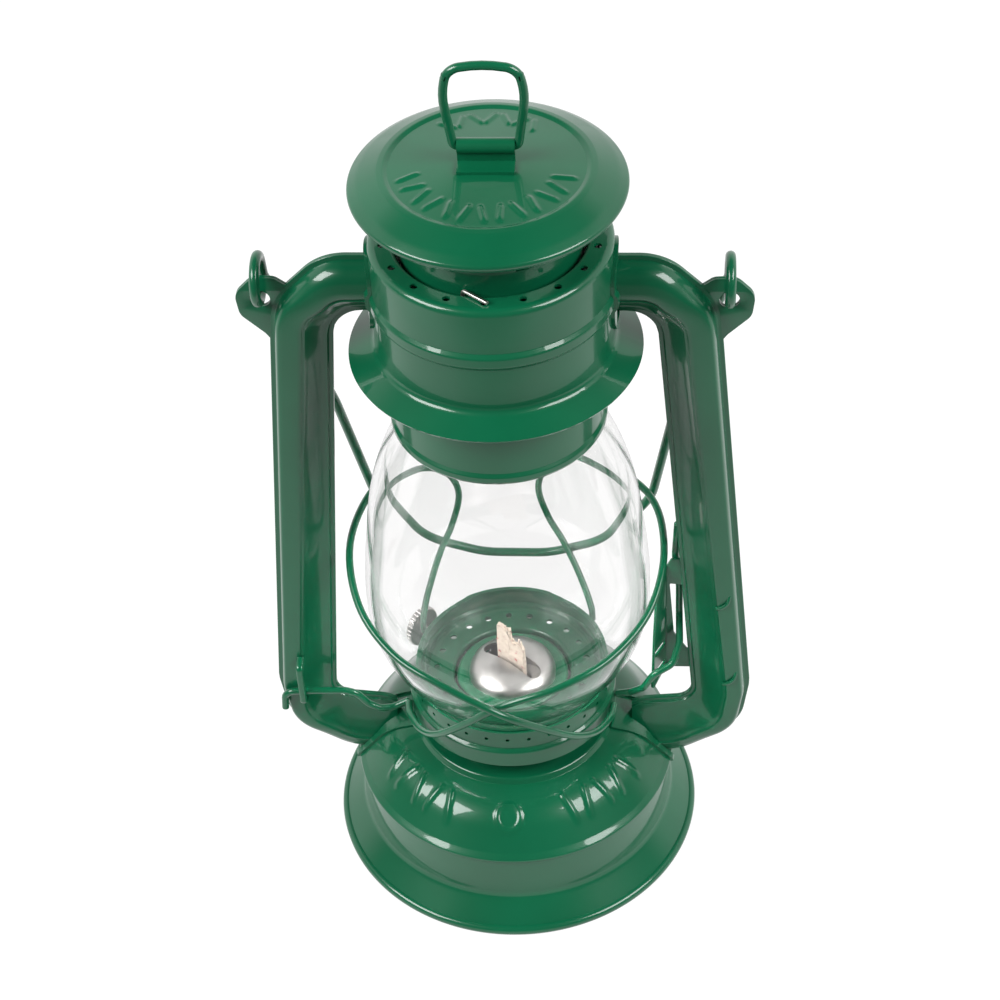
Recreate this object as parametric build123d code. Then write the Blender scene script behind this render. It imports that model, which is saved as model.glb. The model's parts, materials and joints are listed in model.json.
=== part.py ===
from build123d import *
from math import cos, radians, sin
import os

# Hurricane camping lantern, built in millimetres.
# The origin is the centre of the base on the ground, +Z up, and the front faces -Y.
# The two air tubes stand in the XZ plane, and the bail hangs down at the back.

# Sheet and wire stock
SHEET = 0.8
GUARD_WIRE_R = 1.1
BAIL_WIRE_R = 1.4
RING_WIRE_R = 1.2
SPRING_WIRE_R = 0.55
GAP = 0.3

# Tank and base
BASE_R = 57.0
BEAD_R = 1.7
WALL_R = 48.8
WALL_FOOT_Z = 10.0
SHOULDER_Z = 27.0
NECK_STEP_R = 30.0
TANK_TOP_Z = 43.6
TANK_MOUTH_R = 19.6
BOTTOM_Z = 5.0

# Burner
COLLAR_R = 21.6
COLLAR_TOP_Z = 44.8
BURNER_R = 16.5
BURNER_TOP_Z = 58.0
DOME_R = 13.4
DOME_BASE_Z = 59.6
DOME_RISE = 6.5
SLOT_ANGLE = -36.0
WICK_WIDTH = 10.0
WICK_THICK = 2.0
WICK_TOP_Z = 77.5
WICK_FOOT_Z = 16.5
SHAFT_R = 1.0
SHAFT_Z = 48.2
SHAFT_FIT = 0.06
WHEEL_R = 2.5
KNOB_R = 7.5
KNOB_REACH = 43.0

# Filler
FILLER_Y = 38.5
FILLER_Z = 37.5
FILLER_TILT = 24.0
FILLER_R = 7.0
FILLER_TALL = 7.0

# Globe and its plate
FLOOR_Z = 59.3
FLOOR_HOLE_R = 18.4
CUP_R = 29.4
CUP_TOP_Z = 65.0
SKIRT_R = 31.4
SKIRT_FOOT_Z = 51.2
GLOBE_SEAT_R = 27.4
GLOBE_MAX_R = 42.2
GLOBE_SHOULDER_R = 38.0
GLOBE_NECK_R = 27.7
GLOBE_TOP_Z = 174.0
GLASS = 1.8

# Crown: bell, chimney and cap
BELL_R = 29.1
BELL_FOOT_Z = 165.8
BELL_TOP_Z = 195.5
CHIMNEY_R = 24.0
CHIMNEY_FOOT_Z = 193.0
CHIMNEY_TOP_Z = 246.4
CAP_RIM_R = 36.2
CAP_RIM_Z = 244.4
CAP_RIDGE_R = 27.8
CAP_TOP_Z = 250.2

# Hood
HOOD_R = 32.1
HOOD_TOP_Z = 227.2
HOOD_ROOT_Z = 194.0
HOOD_MOUTH_R = 26.2
FLANGE_R = 39.9
FLANGE_Z = 190.2
HOOD_HOLES = 18
HOOD_HOLE_RING_R = 28.6
HOOD_HOLE_R = 1.05
SPRING_R = 28.0
SPRING_LOW_Z = 198.6
SPRING_TOP_Z = 223.2
SPRING_END_ANGLE = -104.0

# Side tubes
TUBE_DEPTH = 6.2
TUBE_FLANGE = 2.4
BEVEL_RISE = 4.6
BEVEL_RUN = 5.4
ARM_TOP_Z = 220.6
ARM_LOW_Z = 202.4
EAR_X = 62.8
EAR_Z = 206.2
EAR_R = 6.8
EAR_HOLE_R = 2.1

# Bail and carry ring
EYE_R = 6.3
BAIL_REACH = 150.0
BAIL_REST_ANGLE = 14.0
BAIL_HOOK_TURN = 298.0
RING_PIVOT_Z = 255.6
RING_TOP_Z = 279.6
RING_HALF_WIDTH = 10.6

# Globe lift
LIFT_TRAVEL = 9.5


def at_angle(radius, angle, z=0.0):
    """The point at a radius and an angle round the lantern's axis."""
    return (radius * cos(radians(angle)), radius * sin(radians(angle)), z)


def pressing(points, radii, thickness=SHEET):
    """A round pressed sheet: a bent centre line of radius and height, spun round the axis."""
    line = FilletPolyline(*points, radius=radii)
    return revolve(Plane.XZ * trace(line, thickness), Axis.Z)


def washer(outer, inner, low, high):
    """A flat ring round the lantern's axis."""
    disc = Circle(outer) - Circle(inner)
    return Pos(0, 0, low) * extrude(disc, high - low)


def disc_solid(radius, low, high):
    """A plain disc round the lantern's axis."""
    return Pos(0, 0, low) * extrude(Circle(radius), high - low)


def bent_wire(points, bends, wire_radius):
    """A round wire along straight runs joined by bends."""
    path = FilletPolyline(*points, radius=bends)
    start = Plane(origin=path @ 0, z_dir=path % 0)
    return sweep(start * Circle(wire_radius), path=path)


def drilled_ring(count, ring_radius, hole_radius, low, high, first=0.0):
    """Upright round cutters spaced evenly round the axis."""
    cutters = []
    for index in range(count):
        x, y, _ = at_angle(ring_radius, first + 360.0 * index / count)
        cutters.append(Pos(x, y, low) * extrude(Circle(hole_radius), high - low))
    return Compound(cutters)


def side_drills(count, hole_radius, inner, outer, z, first=0.0):
    """Level round cutters that point away from the axis, spaced evenly."""
    cutters = []
    for index in range(count):
        turn = first + 360.0 * index / count
        drill = Plane.YZ * Circle(hole_radius)
        cutters.append(Rot(0, 0, turn) * Pos(inner, 0, z) * extrude(drill, outer - inner))
    return Compound(cutters)


# ---------------------------------------------------------------- tank and base


def tank_outline():
    """Centre line of the tank's dome, wall and flared skirt, from the mouth outwards."""
    points = [
        (TANK_MOUTH_R, TANK_TOP_Z - SHEET / 2),
        (NECK_STEP_R, TANK_TOP_Z - SHEET / 2),
        (NECK_STEP_R + 0.9, TANK_TOP_Z - 2.2),
        (WALL_R - 9.0, TANK_TOP_Z - 4.6),
        (WALL_R - 1.2, SHOULDER_Z + 2.0),
        (WALL_R + 0.5, SHOULDER_Z + 0.4),
        (WALL_R - 0.5, SHOULDER_Z - 1.0),
        (WALL_R - 0.3, WALL_FOOT_Z),
        (BASE_R - 1.9, 2.6),
    ]
    bends = [0.6, 0.6, 16.0, 0.8, 0.5, 0.5, 4.5]
    return points, bends


def make_tank_shell():
    points, bends = tank_outline()
    shell = pressing(points, bends)
    bead_section = Pos(BASE_R - BEAD_R, BEAD_R - 0.2) * Circle(BEAD_R)
    bead = revolve(Plane.XZ * bead_section, Axis.Z)
    bead = bead - disc_solid(BASE_R + 5, -5, 0)
    shell = shell + bead
    x, z = FILLER_Y, FILLER_Z
    mouth = Rot(0, 0, 90) * Pos(x, 0, z) * Rot(0, FILLER_TILT, 0) * Pos(0, 0, -8)
    shell = shell - mouth * extrude(Circle(FILLER_R), 20)
    return shell


def tank_block(grow):
    """The tank's whole outer form as one block, grown a little, to trim what stands on it."""
    points, bends = tank_outline()
    line = FilletPolyline(*points, radius=bends)
    inside_top = (0.0, TANK_TOP_Z - SHEET / 2)
    under = Polyline(line @ 1, (BASE_R - 1.9, 1.0), (0.0, 1.0), inside_top, line @ 0)
    face = offset(make_face([line, under]), SHEET / 2 + grow, kind=Kind.ARC)
    face = face & (Pos(BASE_R, 20) * Rectangle(2 * BASE_R, 80))
    return revolve(Plane.XZ * face, Axis.Z)


def make_tank_bottom():
    points = [(0.02, BOTTOM_Z), (45.0, BOTTOM_Z), (49.0, 1.6), (BASE_R - 2 * BEAD_R - 0.1, 1.6)]
    return pressing(points, [2.5, 1.5])


def make_burner_collar():
    """The rolled ring in the tank's mouth that the burner turns into."""
    ring = washer(COLLAR_R, TANK_MOUTH_R - SHEET / 2, TANK_TOP_Z, COLLAR_TOP_Z)
    sleeve = washer(TANK_MOUTH_R - 0.02, TANK_MOUTH_R - SHEET, TANK_TOP_Z - 4, TANK_TOP_Z + 0.4)
    return ring + sleeve


def filler_place():
    """Places a piece on the filler's tilted axis at the back of the tank."""
    return Rot(0, 0, 90) * Pos(FILLER_Y, 0, FILLER_Z) * Rot(0, FILLER_TILT, 0)


def make_filler_neck():
    tube = extrude(Circle(FILLER_R - 0.1) - Circle(FILLER_R - 1.1), FILLER_TALL + 3)
    neck = Pos(0, 0, -3) * tube
    lip = Pos(0, 0, 1.2) * extrude(Circle(FILLER_R + 1.2) - Circle(FILLER_R - 1.1), 0.8)
    seat = filler_place() * lip - tank_block(0.02)
    return filler_place() * neck + seat


def make_filler_cap():
    """A knurled screw cap over the neck."""
    inner_r = FILLER_R + 0.3
    outer_r = FILLER_R + 1.7
    low, high = 2.6, FILLER_TALL + 2.4
    cap = Pos(0, 0, low) * extrude(Circle(outer_r), high - low)
    cap = cap - Pos(0, 0, low - 1) * extrude(Circle(inner_r), high - low)
    cap = fillet(cap.faces().sort_by(Axis.Z)[-1].edges(), 0.8)
    grooves = []
    for index in range(28):
        turn = 360.0 * index / 28
        groove = Pos(outer_r + 0.15, 0, low - 1) * extrude(Circle(0.42), high - low - 0.6)
        grooves.append(Rot(0, 0, turn) * groove)
    cap = cap - grooves
    return filler_place() * cap


def make_filler_gasket():
    """The seal washer inside the cap, between its top and the neck's rim."""
    seal = extrude(Circle(FILLER_R + 0.1) - Circle(2.0), 1.2)
    return filler_place() * Pos(0, 0, FILLER_TALL + 0.1) * seal


# ---------------------------------------------------------------- burner


def slot_frame():
    """Turns a piece so that its X runs along the wick's width."""
    return Rot(0, 0, SLOT_ANGLE)


def shaft_offset():
    """How far the wick shaft's axis lies to the side of the wick's middle plane."""
    return WICK_THICK / 2 + WHEEL_R + 0.1


def make_burner_body():
    """The burner's lower cup: a flange on the collar, a skirt in the tank and an upper wall."""
    flange = washer(COLLAR_R - 0.4, 12.0, COLLAR_TOP_Z, COLLAR_TOP_Z + SHEET)
    floor = disc_solid(12.2, COLLAR_TOP_Z, COLLAR_TOP_Z + SHEET)
    skirt_r = TANK_MOUTH_R - SHEET - 0.1
    skirt = washer(skirt_r, skirt_r - SHEET, TANK_TOP_Z - 6, COLLAR_TOP_Z + 0.1)
    wall = washer(BURNER_R, BURNER_R - SHEET, COLLAR_TOP_Z + 0.1, BURNER_TOP_Z - 0.6)
    body = flange + floor + skirt + wall
    wick_hole = Box(WICK_WIDTH + 3.0, WICK_THICK + 3.0, 6)
    body = body - slot_frame() * Pos(0, 0, COLLAR_TOP_Z) * wick_hole
    bearing = Plane.YZ * Circle(SHAFT_R + SHAFT_FIT)
    bearing = extrude(bearing, 25, both=True)
    body = body - slot_frame() * Pos(0, shaft_offset(), SHAFT_Z) * bearing
    body = body - side_drills(16, 1.3, BURNER_R - 3, BURNER_R + 3, 53.6, 11.25)
    return body


def make_wick_tube():
    """The flat guide tube that holds the wick, with windows for the toothed wheels."""
    outer = Rectangle(WICK_WIDTH + 2.2, WICK_THICK + 2.2)
    inner = Rectangle(WICK_WIDTH + 0.6, WICK_THICK + 0.6)
    low, high = 26.0, DOME_BASE_Z + 0.6
    tube = Pos(0, 0, low) * extrude(fillet(outer.vertices(), 0.9) - inner, high - low)
    window = Box(WICK_WIDTH, 4.0, 2 * WHEEL_R + 1.0)
    tube = tube - Pos(0, 3.0, SHAFT_Z) * window
    return slot_frame() * tube


def make_burner_dome():
    """The bright domed cap of the burner, with a wide slot over the wick."""
    cup = pressing(
        [(BURNER_R + 0.42, 55.6), (BURNER_R + 0.42, BURNER_TOP_Z + 0.6), (DOME_R, BURNER_TOP_Z + 0.6)],
        [0.9],
    )
    outer = Pos(0, 0, DOME_BASE_Z) * scale(Sphere(1.0), (DOME_R, DOME_R, DOME_RISE))
    inner_size = (DOME_R - SHEET, DOME_R - SHEET, DOME_RISE - SHEET)
    inner = Pos(0, 0, DOME_BASE_Z) * scale(Sphere(1.0), inner_size)
    wall = washer(DOME_R, DOME_R - SHEET, BURNER_TOP_Z + 0.2, DOME_BASE_Z)
    dome = (outer - inner) & disc_solid(DOME_R + 1, DOME_BASE_Z, DOME_BASE_Z + 20)
    slot = SlotOverall(21.0, 5.4)
    cutter = slot_frame() * Pos(0, 0, DOME_BASE_Z + 0.8) * extrude(slot, 20)
    return cup + wall + dome - cutter


def make_wick():
    """The flat woven wick, standing straight from the tank to the flame."""
    wick = Box(WICK_WIDTH, WICK_THICK, WICK_TOP_Z - WICK_FOOT_Z)
    middle = (WICK_TOP_Z + WICK_FOOT_Z) / 2
    wick = Pos(0, 0, middle) * wick
    torn = Pos(WICK_WIDTH / 2, 0, WICK_TOP_Z) * Rot(0, 35, 0) * Box(9.0, 6.0, 7.0)
    return slot_frame() * (wick - torn)


def make_wick_shaft():
    length_in = BURNER_R + 1.0
    rod = Plane.YZ * Circle(SHAFT_R)
    rod = Pos(-KNOB_REACH - 1.2, 0, 0) * extrude(rod, KNOB_REACH + 1.2 + length_in)
    return slot_frame() * Pos(0, shaft_offset(), SHAFT_Z) * rod


def make_wick_wheels():
    """Two toothed wheels on the shaft that drive the wick up and down."""
    teeth = 10
    profile = Circle(WHEEL_R - 0.7)
    for index in range(teeth):
        turn = 360.0 * index / teeth
        tooth = Rot(0, 0, turn) * Pos(WHEEL_R - 0.75, 0) * Rectangle(1.5, 0.6)
        profile = profile + tooth
    profile = profile - Circle(SHAFT_R)
    wheels = []
    for place in (-2.6, 1.4):
        wheel = Plane.YZ * profile
        wheels.append(Pos(place, 0, 0) * extrude(wheel, 1.2))
    return slot_frame() * Pos(0, shaft_offset(), SHAFT_Z) * Compound(wheels)


def make_wick_knob():
    """The knurled disc on the shaft's outer end, cupped on its outer face."""
    disc = extrude(Circle(KNOB_R), 2.4)
    disc = fillet(disc.edges(), 0.7)
    cup = Pos(0, 0, 1.6) * extrude(Circle(KNOB_R - 2.2), 2)
    disc = disc - cup
    notches = []
    for index in range(30):
        notch = Pos(KNOB_R + 0.25, 0, -1) * extrude(Circle(0.6), 5)
        notches.append(Rot(0, 0, 12.0 * index) * notch)
    disc = disc - notches - Pos(0, 0, -1) * extrude(Circle(SHAFT_R), 5)
    facing = Plane(origin=(-KNOB_REACH + 1.2, 0, 0), x_dir=(0, 1, 0), z_dir=(-1, 0, 0))
    return slot_frame() * Pos(0, shaft_offset(), SHAFT_Z) * (facing * disc)


# ---------------------------------------------------------------- globe and plate


def make_globe_plate():
    """The perforated floor that carries the globe, with its upturned rim."""
    points = [
        (FLOOR_HOLE_R, FLOOR_Z - 1.8),
        (FLOOR_HOLE_R, FLOOR_Z),
        (CUP_R, FLOOR_Z),
        (CUP_R, CUP_TOP_Z),
    ]
    plate = pressing(points, [0.8, 0.8])
    return plate - drilled_ring(22, 23.6, 1.0, FLOOR_Z - 4, FLOOR_Z + 4, 112.0)


def make_plate_skirt():
    """The outer band of the globe plate, with a row of air holes and a stepped foot."""
    top_r = CUP_R + SHEET + 0.02
    points = [
        (top_r, CUP_TOP_Z - 0.4),
        (top_r, 57.6),
        (SKIRT_R, 56.8),
        (SKIRT_R, SKIRT_FOOT_Z),
    ]
    skirt = pressing(points, [0.5, 0.5])
    return skirt - side_drills(30, 0.6, top_r - 0.39, top_r + 3, 61.5, 6.0)


def make_globe():
    """The pear-shaped glass chimney globe, open at both ends."""
    middle = GLASS / 2
    belly = GLOBE_MAX_R + 0.1 - middle
    points = [
        (GLOBE_SEAT_R - middle, FLOOR_Z + SHEET / 2 + 0.1),
        (GLOBE_SEAT_R - middle, 64.2),
        (belly, 83.4),
        (belly, 106.7),
        (GLOBE_SHOULDER_R - middle, 142.0),
        (GLOBE_NECK_R - middle, 166.2),
        (GLOBE_NECK_R - middle, GLOBE_TOP_Z),
    ]
    return pressing(points, [5.0, 38.0, 150.0, 90.0, 12.0], GLASS)


def guard_route(outer):
    """One guard wire's route, low at the right, across the front to the left and round the back."""
    crossing = 46.9 if outer else 43.7
    return [
        at_angle(33.0, -19, 56.0),
        at_angle(34.8, -29, 57.4),
        at_angle(36.6, -44, 60.2),
        at_angle(39.2, -59, 68.5),
        at_angle((crossing + 40.5) / 2, -75, 81.5),
        at_angle(crossing, -90, 92.8),
        at_angle(45.2, -112, 98.6),
        at_angle(45.4, -134, 100.2),
        at_angle(46.0, -157, 105.5),
        at_angle(46.2, -181, 113.0),
        at_angle(46.0, -207, 116.0),
        at_angle(45.8, -228, 113.0),
        at_angle(45.6, -245, 104.0),
        at_angle(44.6, -243, 88.0),
        at_angle(40.4, -232, 70.0),
        at_angle(36.0, -222, 61.0),
        at_angle(32.96, -219, 60.0),
    ]


def guard_bends():
    return [3, 6, 14, 20, 20, 25, 30, 25, 25, 25, 16, 7, 20, 16, 5]


def make_guard_wire(outer):
    """A bent guard wire; the two are mirror images except where one passes over the other."""
    wire = bent_wire(guard_route(outer), guard_bends(), GUARD_WIRE_R)
    if outer:
        return wire
    return mirror(wire, about=Plane.YZ)


def make_hinge_arm():
    """The wire from the plate's left side that slides up and down in the tube's strap."""
    face = -(TUBE_DEPTH + GAP + GUARD_WIRE_R)
    points = [
        at_angle(32.6, -170, 53.6),
        (-38.5, -6.4, 52.9),
        (-43.5, face, 53.6),
        (-49.0, face, 57.4),
        (-53.5, face, 57.9),
        (-67.2, face, 56.0),
        (-70.9, face, 55.0),
        (-71.4, face, 49.5),
    ]
    return bent_wire(points, [2, 2.5, 3.5, 3.0, 4.0, 2.0], GUARD_WIRE_R)


def make_lift_wire():
    """The wire from the plate's right side, through the lift bracket, to the thumb grip."""
    points = [
        at_angle(32.4, -8, 54.0),
        (36.5, -4.4, 55.0),
        (41.5, -3.6, 57.4),
        (43.8, -3.4, 62.6),
        (48.8, -3.4, 64.4),
        (51.6, -3.4, 71.0),
        (51.0, -3.4, 97.0),
    ]
    return bent_wire(points, [2.0, 3.0, 2.2, 3.5, 5.0], GUARD_WIRE_R)


# ---------------------------------------------------------------- crown


def make_bell():
    """The collar that sits over the globe's top."""
    points = [
        (CHIMNEY_R + SHEET + 0.05, BELL_TOP_Z + 3.0),
        (BELL_R - 1.0, BELL_TOP_Z + 1.2),
        (BELL_R, BELL_TOP_Z - 2.0),
        (BELL_R, BELL_FOOT_Z + 3.4),
        (BELL_R + 0.7, BELL_FOOT_Z + 2.4),
        (BELL_R + 0.7, BELL_FOOT_Z + 1.0),
        (BELL_R + 0.1, BELL_FOOT_Z),
    ]
    return pressing(points, [1.6, 2.0, 0.5, 0.5, 0.4])


def make_chimney():
    """The inner neck, with four wide draught slots under the cap."""
    low, high = CHIMNEY_FOOT_Z, CHIMNEY_TOP_Z
    neck = washer(CHIMNEY_R + SHEET / 2, CHIMNEY_R - SHEET / 2, low, high)
    slot_low, slot_high = 233.2, 242.6
    height = slot_high - slot_low
    half_angle = 26.0
    wedge_r = 40.0
    for index in range(4):
        turn = 45.0 + 90.0 * index
        reach = wedge_r * sin(radians(half_angle)) / cos(radians(half_angle))
        wedge = make_face(Polyline((0, 0), (wedge_r, reach), (wedge_r, -reach), (0, 0)))
        cutter = Pos(0, 0, slot_low) * extrude(wedge, height)
        cutter = cutter - disc_solid(CHIMNEY_R - 3, slot_low - 1, slot_high + 1)
        neck = neck - Rot(0, 0, turn) * cutter
    return neck


def make_cap():
    """The round top cover: a raised plateau, a sloping brim and a rolled edge."""
    points = [
        (0.02, CAP_TOP_Z),
        (8.0, CAP_TOP_Z),
        (CAP_RIDGE_R - 1.6, CAP_TOP_Z - 1.4),
        (CAP_RIDGE_R - 0.8, CAP_TOP_Z - 0.9),
        (CAP_RIDGE_R + 0.3, CAP_TOP_Z - 1.2),
        (CAP_RIM_R - 2.6, CAP_TOP_Z - 4.0),
        (CAP_RIM_R, CAP_RIM_Z),
        (CAP_RIM_R - 0.9, CAP_RIM_Z - 1.4),
    ]
    return pressing(points, [60.0, 0.5, 0.5, 0.9, 5.0, 0.6])


def make_ring_bracket():
    """The folded strap on the cap that holds the carry ring."""
    width = 14.8
    strap_r = RING_WIRE_R + 0.08
    roll = Circle(strap_r + SHEET) - Circle(strap_r)
    roll = Plane.YZ * roll
    eye = Pos(-width / 2, 0, RING_PIVOT_Z) * extrude(roll, width)
    foot_z = CAP_TOP_Z + SHEET / 2
    leg_height = RING_PIVOT_Z - strap_r - foot_z
    leg = Pos(0, 0, foot_z + leg_height / 2 + 0.1) * Box(width, 1.6, leg_height + 0.16)
    tab = Pos(0, -2.6, foot_z + SHEET / 2 + 0.02) * Box(width, 6.4, SHEET)
    bracket = eye + leg + tab
    return bracket - Pos(-width, 0, RING_PIVOT_Z) * extrude(Plane.YZ * Circle(strap_r), 2 * width)


def make_carry_ring():
    """The bent wire ring on the cap: a wide arch on narrowing legs."""
    foot = RING_PIVOT_Z
    high = RING_TOP_Z
    waist = 8.9
    half = RING_HALF_WIDTH
    start = (0.3, 0, foot)
    points = [
        start,
        (waist, 0, foot),
        (half, 0, high - 8.0),
        (half - 0.6, 0, high),
        (-half + 0.6, 0, high),
        (-half, 0, high - 8.0),
        (-waist, 0, foot),
        (-0.3, 0, foot),
    ]
    return bent_wire(points, [1.6, 14.0, 4.6, 4.6, 14.0, 1.6], RING_WIRE_R)


# ---------------------------------------------------------------- hood


def hood_outline():
    """Centre line of the hood's wall, from its top's mouth down to the flared flange."""
    points = [
        (HOOD_MOUTH_R, HOOD_TOP_Z - 2.6),
        (HOOD_MOUTH_R, HOOD_TOP_Z),
        (HOOD_R, HOOD_TOP_Z),
        (HOOD_R, 213.6),
        (HOOD_R + 0.9, 212.4),
        (HOOD_R + 0.9, 209.8),
        (HOOD_R + 0.1, 208.6),
        (HOOD_R + 0.2, HOOD_ROOT_Z),
        (FLANGE_R, FLANGE_Z),
    ]
    return points, [0.7, 1.5, 0.7, 0.7, 0.7, 0.7, 2.6]


def hood_block(grow):
    """The hood's outer form as one block, grown a little, to trim what meets its wall."""
    points, bends = hood_outline()
    line = FilletPolyline(*points[1:], radius=bends[1:])
    under = Polyline(line @ 1, (0.0, FLANGE_Z), (0.0, HOOD_TOP_Z), line @ 0)
    face = offset(make_face([line, under]), SHEET / 2 + grow, kind=Kind.ARC)
    face = face & (Pos(BASE_R, HOOD_TOP_Z) * Rectangle(2 * BASE_R, 200))
    return revolve(Plane.XZ * face, Axis.Z)


def make_hood_shell():
    """The outer hood: perforated top, beaded wall and flared lower flange."""
    points, bends = hood_outline()
    hood = pressing(points, bends)
    top_low, top_high = HOOD_TOP_Z - 3, HOOD_TOP_Z + 3
    hood = hood - drilled_ring(HOOD_HOLES, HOOD_HOLE_RING_R, HOOD_HOLE_R, top_low, top_high, -90)
    for side in (-1, 1):
        mouth = Plane.YZ * Circle(5.0)
        centre_z = (ARM_TOP_Z + ARM_LOW_Z) / 2
        hood = hood - Pos(side * HOOD_R - 4, 0, centre_z) * extrude(mouth, 8)
    return hood


def make_crown_spring():
    """The coil spring under the hood's top that presses the crown down on the globe.

    Its coil is made of runs and bends round a polygon, and its bright end comes up beside the chimney.
    """
    corners_per_turn = 6
    turns = 4
    step = 360.0 / corners_per_turn
    corner_r = SPRING_R / cos(radians(step / 2))
    rise = (SPRING_TOP_Z - SPRING_LOW_Z) / (turns * corners_per_turn)
    points = [at_angle(SPRING_R, SPRING_END_ANGLE + step / 2, SPRING_LOW_Z)]
    for index in range(1, turns * corners_per_turn):
        angle = SPRING_END_ANGLE - step * (turns * corners_per_turn - index)
        points.append(at_angle(corner_r, angle, SPRING_LOW_Z + rise * index))
    points.append(at_angle(SPRING_R + 0.6, SPRING_END_ANGLE - step / 2, SPRING_TOP_Z))
    bends = [0.94 * SPRING_R] * (len(points) - 3) + [12.0, 9.0]
    gap_r = (CHIMNEY_R + HOOD_MOUTH_R) / 2
    tip_z = HOOD_TOP_Z + SHEET / 2 + SPRING_WIRE_R + 0.15
    points.append(at_angle(gap_r, SPRING_END_ANGLE, SPRING_TOP_Z))
    points.append(at_angle(gap_r, SPRING_END_ANGLE + 1.0, tip_z))
    points.append((0.8, -29.6, tip_z + 0.1))
    return bent_wire(points, bends + [0.9, 0.9], SPRING_WIRE_R)


# ---------------------------------------------------------------- side tubes


def tube_outline():
    """The right-hand tube's flange outline in X and Z, run on past both of its ends."""
    outer = FilletPolyline(
        (24.0, ARM_TOP_Z + 0.4),
        (45.5, ARM_TOP_Z + 0.4),
        (60.4, 206.0),
        (72.9, 56.0),
        (70.6, 38.0),
        (52.0, 24.6),
        (30.0, 24.6),
        radius=[16, 18, 16, 16, 20],
    )
    inner = FilletPolyline(
        (24.0, ARM_LOW_Z),
        (43.4, ARM_LOW_Z),
        (55.4, 49.4),
        (38.6, 47.6),
        (30.0, 40.0),
        radius=[8.5, 5.0, 7.0],
    )
    return outer, inner


def flange_face():
    outer, inner = tube_outline()
    near_hood = Line(inner @ 0, outer @ 0)
    near_tank = Line(outer @ 1, inner @ 1)
    return make_face([outer, near_tank, inner, near_hood])


def crown_block():
    """The raised part of a tube half: extruded, with a long bevel along its inner side."""
    region = offset(flange_face(), -TUBE_FLANGE, kind=Kind.ARC)
    block = extrude(region, TUBE_DEPTH)
    _, inner = tube_outline()
    top = block.faces().sort_by(Axis.Z)[-1]
    inner_edges = []
    for edge in top.edges():
        middle = edge @ 0.5
        gap = inner.distance_to(Vertex(middle.X, middle.Y, 0))
        if gap < TUBE_FLANGE + 0.5:
            inner_edges.append(edge)
    return chamfer(inner_edges, length=BEVEL_RISE, length2=BEVEL_RUN, reference=top)


def soften_crown(crown):
    """Rounds the outer edge of the raised part; the crease on its inner side stays crisp."""
    outer, _ = tube_outline()
    edges = []
    for edge in crown.faces().sort_by(Axis.Z)[-1].edges():
        middle = edge @ 0.5
        if outer.distance_to(Vertex(middle.X, middle.Y, 0)) < TUBE_FLANGE + 0.5:
            edges.append(edge)
    return fillet(edges, 2.6)


def tube_half():
    """One stamped half of the right-hand tube, lying flat: X across, Y up and Z out of the tube."""
    crown = soften_crown(crown_block())
    core = offset(flange_face(), -TUBE_FLANGE - SHEET, kind=Kind.ARC)
    hollow = extrude(core, TUBE_DEPTH) & Pos(0, 0, -SHEET) * crown
    ear = Pos(EAR_X, EAR_Z) * Circle(EAR_R)
    corners = [(55, 211), (60, 212.2), (66, 212.2), (68.6, 202.5), (62.6, 193), (55, 193)]
    web = make_face(Polyline(*corners, close=True))
    flange = flange_face() + ear + web
    flange = flange - Pos(EAR_X, EAR_Z) * Circle(EAR_HOLE_R)
    plate = extrude(flange, SHEET)
    return plate + crown - hollow


def stand_up(half, left, rear):
    """Stands a flat-lying half in the XZ plane, on its own side of the seam and of the lantern."""
    half = Rot(90, 0, 0) * half
    if rear:
        half = mirror(half, about=Plane.XZ)
    if left:
        half = mirror(half, about=Plane.YZ)
    return half


def make_tube_halves():
    """The four stamped halves of the two side tubes, by name."""
    flat = tube_half()
    halves = {}
    for left in (True, False):
        for rear in (True, False):
            half = stand_up(flat, left, rear)
            half = half - hood_block(0.05) - tank_block(0.05)
            name = ("left" if left else "right") + "_tube_" + ("rear" if rear else "front")
            halves[name] = largest(half)
    return halves


def arm_bar(grow):
    """The right-hand tube's arms as a solid bar, grown a little, to cut and shape the collars."""
    face = offset(flange_face(), grow, kind=Kind.ARC)
    bar = extrude(face, TUBE_DEPTH + grow, both=True)
    return Rot(90, 0, 0) * bar


def make_hood_saddle(left):
    """The soldered collar where a tube enters the hood, curved to the hood's wall."""
    shell = hood_block(1.0) - hood_block(0.02)
    plate = Plane.YZ * SlotOverall(27.0, 17.0, rotation=90)
    reach = Pos(HOOD_R - 6, 0, (ARM_TOP_Z + ARM_LOW_Z) / 2) * extrude(plate, 12)
    saddle = (shell & reach) - arm_bar(0.05)
    return saddle if not left else mirror(saddle, about=Plane.YZ)


def make_foot_collar(left):
    """The thin flared collar that joins a tube's lower end to the tank's dome."""
    sleeve = arm_bar(2.0) & (Pos(42, 0, 42) * Box(24, 40, 30))
    collar = (sleeve & tank_block(0.9)) - tank_block(0.03) - arm_bar(0.05)
    collar = Compound(collar.solids())
    return collar if not left else mirror(collar, about=Plane.YZ)


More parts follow.
